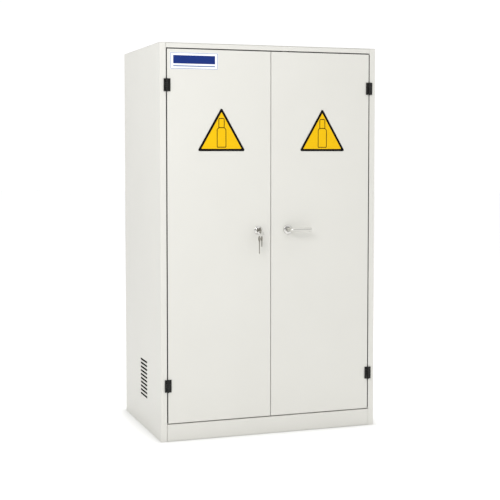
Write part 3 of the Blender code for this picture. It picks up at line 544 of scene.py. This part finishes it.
def lock():
    """The turned housing: a thin flange, a cove and a raised nose with a bore for the plug."""
    profile = np.array([
        (7.3, 4.6), (7.7, 5.0), (9.9, 5.0), (10.7, 4.7), (11.3, 4.1), (12.0, 3.5), (13.2, 3.15), (14.8, 2.9),
        (16.2, 2.5), (17.1, 1.9), (17.5, 1.2), (17.5, 0.3), (9.5, 0.3), (9.5, -24.5), (7.3, -24.5),
    ]) * MM
    rings = lathe(profile, (LOCK_X, FACE, LOCK_Z), "Y", 72)
    piece(skin("lock_case", rings, CHROME, "left_door", "chrome", ["lock_housing"], loop=True), sharp=50)
    low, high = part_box("lock_nut")
    hexagon = [
        (LOCK_X + NUT_RADIUS * math.cos(k * TURN / 6), LOCK_Z + NUT_RADIUS * math.sin(k * TURN / 6))
        for k in range(6)
    ]
    outer, normals = rounded(hexagon, 0.6 * MM)
    angle = np.arctan2(outer[:, 1] - LOCK_Z, outer[:, 0] - LOCK_X)
    inner = np.stack([LOCK_X + NUT_BORE * np.cos(angle), LOCK_Z + NUT_BORE * np.sin(angle)], axis=-1)
    across = np.array([0, 0, 0.06, 0.94, 1, 1, 0.94, 0.06])
    front, back = low[1] + NUT_EASE, high[1] - NUT_EASE
    depth = FACE - np.array([front, back, high[1], high[1], back, front, low[1], low[1]])
    rings = on_face(outer[None] + (inner - outer)[None] * across[:, None, None], depth[:, None])
    piece(skin("lock_back_nut", rings, ZINC, "left_door", "zinc_plate", ["lock_nut"], loop=True))


def key_bow(name, middle, hole, radius, thick, body, stands_for):
    """A flat round bow seen edge-on: rings from its rim to its hole, with both edges eased."""
    angle = np.linspace(0, TURN, 48, endpoint=False)
    circle = np.stack([np.cos(angle), np.sin(angle)], axis=-1)
    outer = np.asarray(middle[1:]) + circle * radius
    inner = np.asarray(hole) + circle * KEY_HOLE
    across = np.array([0, 0, 0.04, 0.94, 1, 1, 0.94, 0.04])
    level = np.array([-0.3, 0.3, 0.5, 0.5, 0.3, -0.3, -0.5, -0.5]) * thick
    flat = outer[None] + (inner - outer)[None] * across[:, None, None]
    x = np.broadcast_to(middle[0] + level[:, None], flat.shape[:2])
    rings = np.stack([x, flat[..., 0], flat[..., 1]], axis=-1)
    return skin(name, rings, KEY, body, "key_metal", stands_for, loop=True)


def key_blade(body, x, start, end, half, thick, hanging):
    """A flat bar along its length; the far edge dips at each cut along half a wave of a cosine.

    Both edges run in to the tip, the far one by three quarters and the near one by half.
    """
    along = np.linspace(0, 1, 61)
    dips = np.zeros(61)
    for place, depth in CUTS:
        wave = np.clip(np.cos((along - place) * math.pi / CUT_SPAN), 0, 1)
        dips += depth * wave * (np.abs(along - place) < CUT_SPAN / 2)
    far = half * np.where(along > TIP_START, 1 - 0.75 * (along - TIP_START) / (1 - TIP_START), 1) - dips
    near = -half * np.where(along > HEEL_START, 1 - 0.5 * (along - HEEL_START) / (1 - HEEL_START), 1)
    route = np.asarray(start)[None] + (np.asarray(end) - np.asarray(start))[None] * along[:, None]
    square = np.array([(-0.5, 0.12), (-0.5, 0.88), (-0.36, 1), (0.36, 1), (0.5, 0.88), (0.5, 0.12),
                       (0.36, 0), (-0.36, 0)])
    across = near[:, None] + (far - near)[:, None] * square[None, :, 1]
    sideways = np.broadcast_to(x + square[None, :, 0] * thick, across.shape)
    if hanging:
        depth, level = route[:, :1] + across, np.broadcast_to(route[:, 1:], across.shape)
    else:
        depth, level = np.broadcast_to(route[:, :1], across.shape), route[:, 1:] + across
    rings = np.stack([sideways, depth, level], axis=-1)
    return skin("", rings, KEY, body, "key_metal")


def keys():
    """The key in the plug, the coiled ring in its bow, and two spare keys hanging from the ring."""
    bow = (LOCK_X, FACE - 22.5 * MM, LOCK_Z)
    hole = (FACE - KEY_HOLE_OUT, LOCK_Z)
    piece(
        key_bow("door_key_flat", bow, hole, 12.5 * MM, 2.4 * MM, "key", ["door_key"]),
        key_blade("key", LOCK_X, (FACE - BLADE_OUT, LOCK_Z), (FACE + BLADE_IN, LOCK_Z),
                  4.1 * MM, 2.2 * MM, False),
    )
    y = FACE - KEY_HOLE_OUT
    low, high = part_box("key_ring")
    centre = np.array([(low[0] + high[0]) / 2, y, (low[2] + high[2]) / 2])
    turn = np.linspace(0, 2 * TURN, RING_STEPS)
    path = centre + np.stack([
        RING_RADIUS * np.sin(turn), 0.75 * MM * np.tanh((turn - TURN) * 1.6), RING_RADIUS * np.cos(turn),
    ], axis=-1)
    out = np.stack([np.sin(turn), np.zeros(RING_STEPS), np.cos(turn)], axis=-1)
    step = np.arange(RING_STEPS)
    size = RING_WIRE * np.sqrt(np.clip(np.minimum(step, step[::-1]) / 2 + 0.05, 0, 1))
    rings = tube(path, out, np.broadcast_to((0, 1.0, 0), path.shape), size, size, 12)
    piece(skin("key_ring_coil", rings, CHROME, "key_ring", "chrome", ["key_ring"]))
    for name, radius in (("long_spare_key", 11.5 * MM), ("short_spare_key", 10.0 * MM)):
        low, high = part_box(name)
        x = (low[0] + high[0]) / 2
        bow_z = high[2] - radius
        hole_z = bow_z + radius - KEY_HOLE - HOLE_RIM
        piece(
            key_bow(name + "_flat", (x, y, bow_z), (y, hole_z), radius, 2.0 * MM, "key_ring", [name]),
            key_blade("key_ring", x, (y, bow_z - radius + 2 * MM), (y, low[2]), 4.0 * MM, 1.9 * MM, True),
        )


lock()
keys()


# Lever

rosette_low, rosette_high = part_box("handle_rosette")
HANDLE_X, HANDLE_Z = (rosette_low[0] + rosette_high[0]) / 2, (rosette_low[2] + rosette_high[2]) / 2
LEVER_RADIUS = 6.8 * MM
LEVER_OUT = 38.2 * MM
LEVER_BEND = 14 * MM
LEVER_LENGTH = 88 * MM
NECK_START = 1.5 * MM  # from the doors' face
GRIP_TALLER, GRIP_THINNER = 1.7 * MM, 0.9 * MM  # how the grip's half sizes differ from the neck's
SWELL_START, SWELL_SPAN = 30 * MM, 25 * MM  # where along the lever they change
GRIP_DOME = 5.5 * MM


def lever():
    """A round neck out of the rosette, a bend, and a level grip that widens, with a domed end."""
    corner = np.linspace(0, math.pi / 2, 13)
    rise = np.linspace(NECK_START, LEVER_OUT - LEVER_BEND, 6, endpoint=False)
    neck = np.stack([np.zeros(6), rise], axis=-1)
    arc = LEVER_BEND * np.stack([1 - np.cos(corner), np.sin(corner) - 1], axis=-1)
    bend = arc + (0, LEVER_OUT)
    grip_x = LEVER_BEND + (LEVER_LENGTH - LEVER_BEND) * np.sin(np.linspace(0.02, 1, 40) * math.pi / 2)
    grip = np.stack([grip_x, np.full(40, LEVER_OUT)], axis=-1)
    flat = np.concatenate([neck, bend, grip])
    path = np.stack([HANDLE_X + flat[:, 0], FACE - flat[:, 1], np.full(len(flat), HANDLE_Z)], axis=-1)
    travel = np.concatenate([[0], np.cumsum(np.linalg.norm(np.diff(path, axis=0), axis=1))])
    left = (travel[-1] - travel) / GRIP_DOME
    dome = np.sqrt(np.clip(1 - np.clip(1 - left, 0, 1) ** 2, 1e-5, 1))
    share = np.clip((travel - SWELL_START) / SWELL_SPAN, 0, 1)
    share = share * share * (3 - 2 * share)
    up = (LEVER_RADIUS + GRIP_TALLER * share) * dome
    deep = (LEVER_RADIUS - GRIP_THINNER * share) * dome
    across, level = directions(path, (0, 0, 1.0))
    rings = tube(path, across, level, deep, up, 32, 2.2)
    piece(skin("lever_grip", rings, SATIN, "lever", "chrome", ["lever_handle"]))
    profile = np.array([
        (7.8, 0.3), (7.8, 6.6), (8.3, 7.2), (9.0, 7.3), (12.5, 7.3), (13.2, 7.0), (13.8, 6.75), (14.6, 6.8),
        (15.6, 6.7), (16.9, 6.1), (18.0, 5.0), (18.7, 3.6), (19.0, 2.2), (19.0, 0.3),
    ]) * MM
    rings = lathe(profile, (HANDLE_X, FACE, HANDLE_Z), "Y", 72)
    rosette = skin("lever_rosette", rings, CHROME, "right_door", "chrome", ["handle_rosette"], loop=True)
    piece(rosette, sharp=50)


lever()


# Seals, whose dark is also a painted shade in the gaps round the doors

SEAL = 1.0 * MM  # thickness of a strip
SEAL_FRONT, SEAL_BACK = 1.3 * MM, 21 * MM  # behind the doors' face
DOOR_TOP_Z = DOOR_HIGH[2]
GAP = 4 * MM  # beside and above the doors
BOLT_ROOM = 3 * MM
HEAD_REACH = 424 * MM  # half the length of the strip over the doors


def seal_and_shade_strip(low, high):
    """A strip with a soft crown: a superellipse carried straight from one end to the other."""
    low, high = np.asarray(low), np.asarray(high)
    middle, half = (low + high) / 2, (high - low) / 2
    axis = int(np.argmax(half))
    others = [k for k in range(3) if k != axis]
    angle = np.linspace(0, TURN, 16, endpoint=False)
    ends = np.array([-1, -0.999, 0.999, 1])
    shrink = np.array([0.7, 1, 1, 0.7])
    rings = np.zeros((4, 16, 3)) + middle
    rings[..., axis] += (half[axis] * ends)[:, None]
    for other, wave in zip(others, (np.cos(angle), np.sin(angle))):
        rings[..., other] += half[other] * shrink[:, None] * np.sign(wave) * np.abs(wave) ** 0.25
    return rings


def seals_and_gap_shade():
    """Dark heat-swelling strips in the gap, their dark also a painted shade of the gap: on the frame's jambs
    and head, and on the doors' edges.
    """
    # The strips' dark stands for the seals and also paints the shade deep in the gaps
    near, far = FACE + SEAL_FRONT, FACE + SEAL_BACK
    bolt_low, bolt_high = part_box("upper_bolt")
    clear = (bolt_low[0] - BOLT_ROOM, bolt_high[0] + BOLT_ROOM)
    for side_name, side in (("left", -1), ("right", 1)):
        door_low, door_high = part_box(side_name + "_door_pan")
        edge = door_low[0] if side < 0 else door_high[0]
        jamb = edge + side * GAP
        low_z, high_z = door_low[2] + 3 * MM, DOOR_TOP_Z - 1 * MM
        inner = sorted((edge, edge + side * SEAL))
        outer = sorted((jamb, jamb - side * SEAL))
        start, end = sorted((edge - side * 1 * MM, side * 3 * MM))
        runs = [(start, end)] if side < 0 else [(start, clear[0]), (clear[1], end)]
        strips = [seal_and_shade_strip((inner[0], near, low_z), (inner[1], far, high_z))]
        strips += [seal_and_shade_strip((x, near, DOOR_TOP_Z), (x_end, far, DOOR_TOP_Z + SEAL)) for x, x_end in runs]
        body = side_name + "_door"
        piece(*[skin(side_name + "_door_seal", strip, RUBBER, body, "rubber") for strip in strips])
        strip = seal_and_shade_strip((outer[0], near, low_z), (outer[1], far, high_z))
        piece(skin(side_name + "_jamb_seal_and_gap_shade", strip, RUBBER, "carcass", "rubber"))
    head = DOOR_TOP_Z + GAP
    runs = ((-HEAD_REACH, clear[0]), (clear[1], HEAD_REACH))
    strips = [seal_and_shade_strip((x, near, head - SEAL), (x_end, far, head)) for x, x_end in runs]
    piece(*[skin("head_seal_and_gap_shade", strip, RUBBER, "carcass", "rubber") for strip in strips])


seals_and_gap_shade()


# Round pieces inside


TUBE_WALL, TUBE_EASE = 1.5 * MM, 0.4 * MM


def round_pieces():
    """Domed rubber buffers, and the retaining bar with the rims of its ends eased."""
    for side_name in ("left", "right"):
        for level in ("upper", "lower"):
            node = f"{side_name}_{level}_buffer"
            low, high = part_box(node)
            radius, length = (high[0] - low[0]) / 2, high[1] - low[1]
            angle = np.linspace(0, math.pi / 2, 10)
            crown = np.stack([radius * np.cos(angle), length * (0.35 + 0.65 * np.sin(angle))], axis=-1)
            crown[-1, 0] = AXIS
            profile = np.concatenate([[(AXIS, 0), (radius * 0.96, 0), (radius, 0.5 * MM)], crown])
            centre = ((low[0] + high[0]) / 2, high[1], (low[2] + high[2]) / 2)
            rings = lathe(profile, centre, "Y", 32)
            piece(skin(node + "_dome", rings, RUBBER, "carcass", "rubber", [node]))
    low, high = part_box("retaining_bar")
    radius = (high[2] - low[2]) / 2
    half = (high[0] - low[0]) / 2
    bore, ease = radius - TUBE_WALL, TUBE_EASE
    profile = [
        (radius - ease, -half), (radius, ease - half), (radius, half - ease), (radius - ease, half),
        (bore + ease, half), (bore, half - ease), (bore, ease - half), (bore + ease, -half),
    ]
    centre = (0, (low[1] + high[1]) / 2, (low[2] + high[2]) / 2)
    rings = lathe(profile, centre, "X", 40)
    piece(skin("retaining_tube", rings, ZINC, "retaining_bar", "zinc_plate", ["retaining_bar"], loop=True))


round_pieces()


# Every node left showing takes its slot's finish

for node_object in nodes.values():
    slot_name = node_object.data.materials[0].name.split(".")[0]
    node_object.data.materials[0] = FINISHES[slot_name]


# Studio

scene = bpy.context.scene
scene.view_settings.view_transform = "Standard"

FLOOR_RINGS = (0.01, 1.0, 2.0, 4.0, 8.0, 16.0, 30.0)
FLOOR_SIDES = 96
FLOOR_GLOW = 0.07
# The cabinet's footprint on each axis: half its size, and its middle
FOOTPRINT = (("X", 0.4535, 0.0), ("Y", 0.300, 0.0225))
PAINTED_SHADOW_REACH = 0.065  # how far from the footprint the floor takes a painted contact shadow
PAINTED_SHADOW_FADE = 0.45  # exponent of the way the painted contact shadow fades back to the open floor's tone

AIR, AIR_LEFT = 1.04, 0.60
AIR_FADE = (-1.0, -0.1)  # sideways directions between which the air goes from dim to full
DARK_PATCH = (0.10, -0.99, -0.12)
PATCH_EDGE, PATCH_CORE = 0.90, 0.98  # cosines of the angle to the patch's middle
PATCH_AIR = 0.04  # share of the air that is left in the patch


def studio_floor():
    """A wide pale disc, with a painted contact shadow darkening it in a narrow band round the cabinet's
    foot.
    """
    around = np.linspace(0, TURN, FLOOR_SIDES, endpoint=False)
    radius = np.array(FLOOR_RINGS)[:, None]
    shape = (len(FLOOR_RINGS), FLOOR_SIDES)
    rings = np.stack([radius * np.cos(around), radius * np.sin(around), np.zeros(shape)], axis=-1)
    index = np.arange(shape[0] * shape[1]).reshape(shape)
    near, far = index[:-1], index[1:]
    quads = np.stack([near, far, np.roll(far, -1, axis=1), np.roll(near, -1, axis=1)], axis=-1)
    faces = quads.reshape(-1, 4).tolist() + [index[0].tolist()]
    mesh = bpy.data.meshes.new("studio_floor")
    mesh.from_pydata(rings.reshape(-1, 3).tolist(), [], faces)
    material, tree, shader, place = new_material(
        "white_studio_floor", Roughness=0.9, Emission_Color=(1, 1, 1, 1),
        Emission_Strength=FLOOR_GLOW,
    )
    split = add(tree, "ShaderNodeSeparateXYZ", {"Vector": place})
    reach = []
    for axis, half, middle in FOOTPRINT:
        offset = add(tree, "ShaderNodeMath", {0: split.outputs[axis], 1: middle}, operation="SUBTRACT")
        size = add(tree, "ShaderNodeMath", {0: offset.outputs[0]}, operation="ABSOLUTE")
        past = add(tree, "ShaderNodeMath", {0: size.outputs[0], 1: half}, operation="SUBTRACT")
        outside = add(tree, "ShaderNodeMath", {0: past.outputs[0], 1: 0.0}, operation="MAXIMUM")
        reach.append(outside.outputs[0])
    gap = add(tree, "ShaderNodeCombineXYZ", {"X": reach[0], "Y": reach[1]}).outputs["Vector"]
    distance = add(tree, "ShaderNodeVectorMath", {0: gap}, operation="LENGTH").outputs["Value"]
    band = add(tree, "ShaderNodeMapRange", {"Value": distance, "From Max": PAINTED_SHADOW_REACH})
    fade = {0: band.outputs["Result"], 1: PAINTED_SHADOW_FADE}
    open_share = add(tree, "ShaderNodeMath", fade, operation="POWER").outputs[0]
    open_floor = mottled(tree, place, ("#FBFBFB", "#FEFEFE"), 0.5)
    # Painted contact shadow: the floor's colour goes from #CCCCCA at the footprint to the open floor's white
    tone = mixed(tree, open_share, linear("#CCCCCA"), open_floor)
    tree.links.new(tone, shader.inputs["Base Color"])
    mesh.materials.append(material)
    made = bpy.data.objects.new("studio_floor", mesh)
    scene.collection.objects.link(made)


def soft_box(name, place, target, size, power):
    """A rectangular white lamp that faces its target; the camera doesn't see the lamp itself."""
    lamp = bpy.data.lights.new(name, "AREA")
    lamp.shape = "RECTANGLE"
    lamp.size, lamp.size_y = size
    lamp.energy = power
    made = bpy.data.objects.new(name, lamp)
    scene.collection.objects.link(made)
    made.visible_camera = False
    made.location = place
    aim = np.asarray(target, dtype=float) - np.asarray(place, dtype=float)
    flat = math.hypot(aim[0], aim[1])
    made.rotation_euler = (math.pi / 2 + math.atan2(aim[2], flat), 0, math.atan2(-aim[0], aim[1]))


def studio_air():
    """An even white surround, a little dimmer to the left, with one dark patch low in front.

    The patch is where a room is darker than its lamps; it gives plated pieces their dark accents.
    """
    world = bpy.data.worlds.new("studio_air")
    scene.world = world
    world.use_nodes = True
    tree = world.node_tree
    direction = add(tree, "ShaderNodeTexCoord").outputs["Generated"]
    sideways = add(tree, "ShaderNodeSeparateXYZ", {"Vector": direction}).outputs["X"]
    level = add(tree, "ShaderNodeMapRange", {
        "Value": sideways, "From Min": AIR_FADE[0], "From Max": AIR_FADE[1],
        "To Min": AIR_LEFT, "To Max": AIR,
    }).outputs["Result"]
    toward = add(tree, "ShaderNodeVectorMath", {0: direction, 1: DARK_PATCH}, operation="DOT_PRODUCT")
    shade = add(tree, "ShaderNodeMapRange", {
        "Value": toward.outputs["Value"], "From Min": PATCH_EDGE, "From Max": PATCH_CORE,
        "To Min": 1.0, "To Max": PATCH_AIR,
    }).outputs["Result"]
    air = add(tree, "ShaderNodeMath", {0: level, 1: shade}, operation="MULTIPLY").outputs["Value"]
    tree.links.new(air, tree.nodes["Background"].inputs["Color"])


studio_floor()
studio_air()
# Place, target, size in metres and power in watts
soft_box("key_box", (-1.5, -2.0, 2.1), (-0.1, -0.28, 1.1), (0.9, 0.9), 22)
soft_box("side_box", (-1.7, 0.35, 2.0), (-0.45, 0.05, 1.4), (0.6, 0.6), 2.5)
soft_box("top_box", (0.3, 0.2, 4.6), (0, 0, 0.5), (5.0, 5.0), 60)

CAMERA_PLACE = (-1.5807, -4.5584, 1.1269)
CAMERA_DOWN, CAMERA_RIGHT = 0.0543, 0.3355  # radians from a level view along +Y

camera_data = bpy.data.cameras.new("front_camera")
camera_data.sensor_width = 36  # millimetres, as is the focal length
camera_data.lens = 82.6
camera_data.shift_y = -0.07
camera_data.clip_end = 100
camera = bpy.data.objects.new("front_camera", camera_data)
camera.location = CAMERA_PLACE
camera.rotation_euler = (math.pi / 2 - CAMERA_DOWN, 0, -CAMERA_RIGHT)
scene.collection.objects.link(camera)
scene.camera = camera
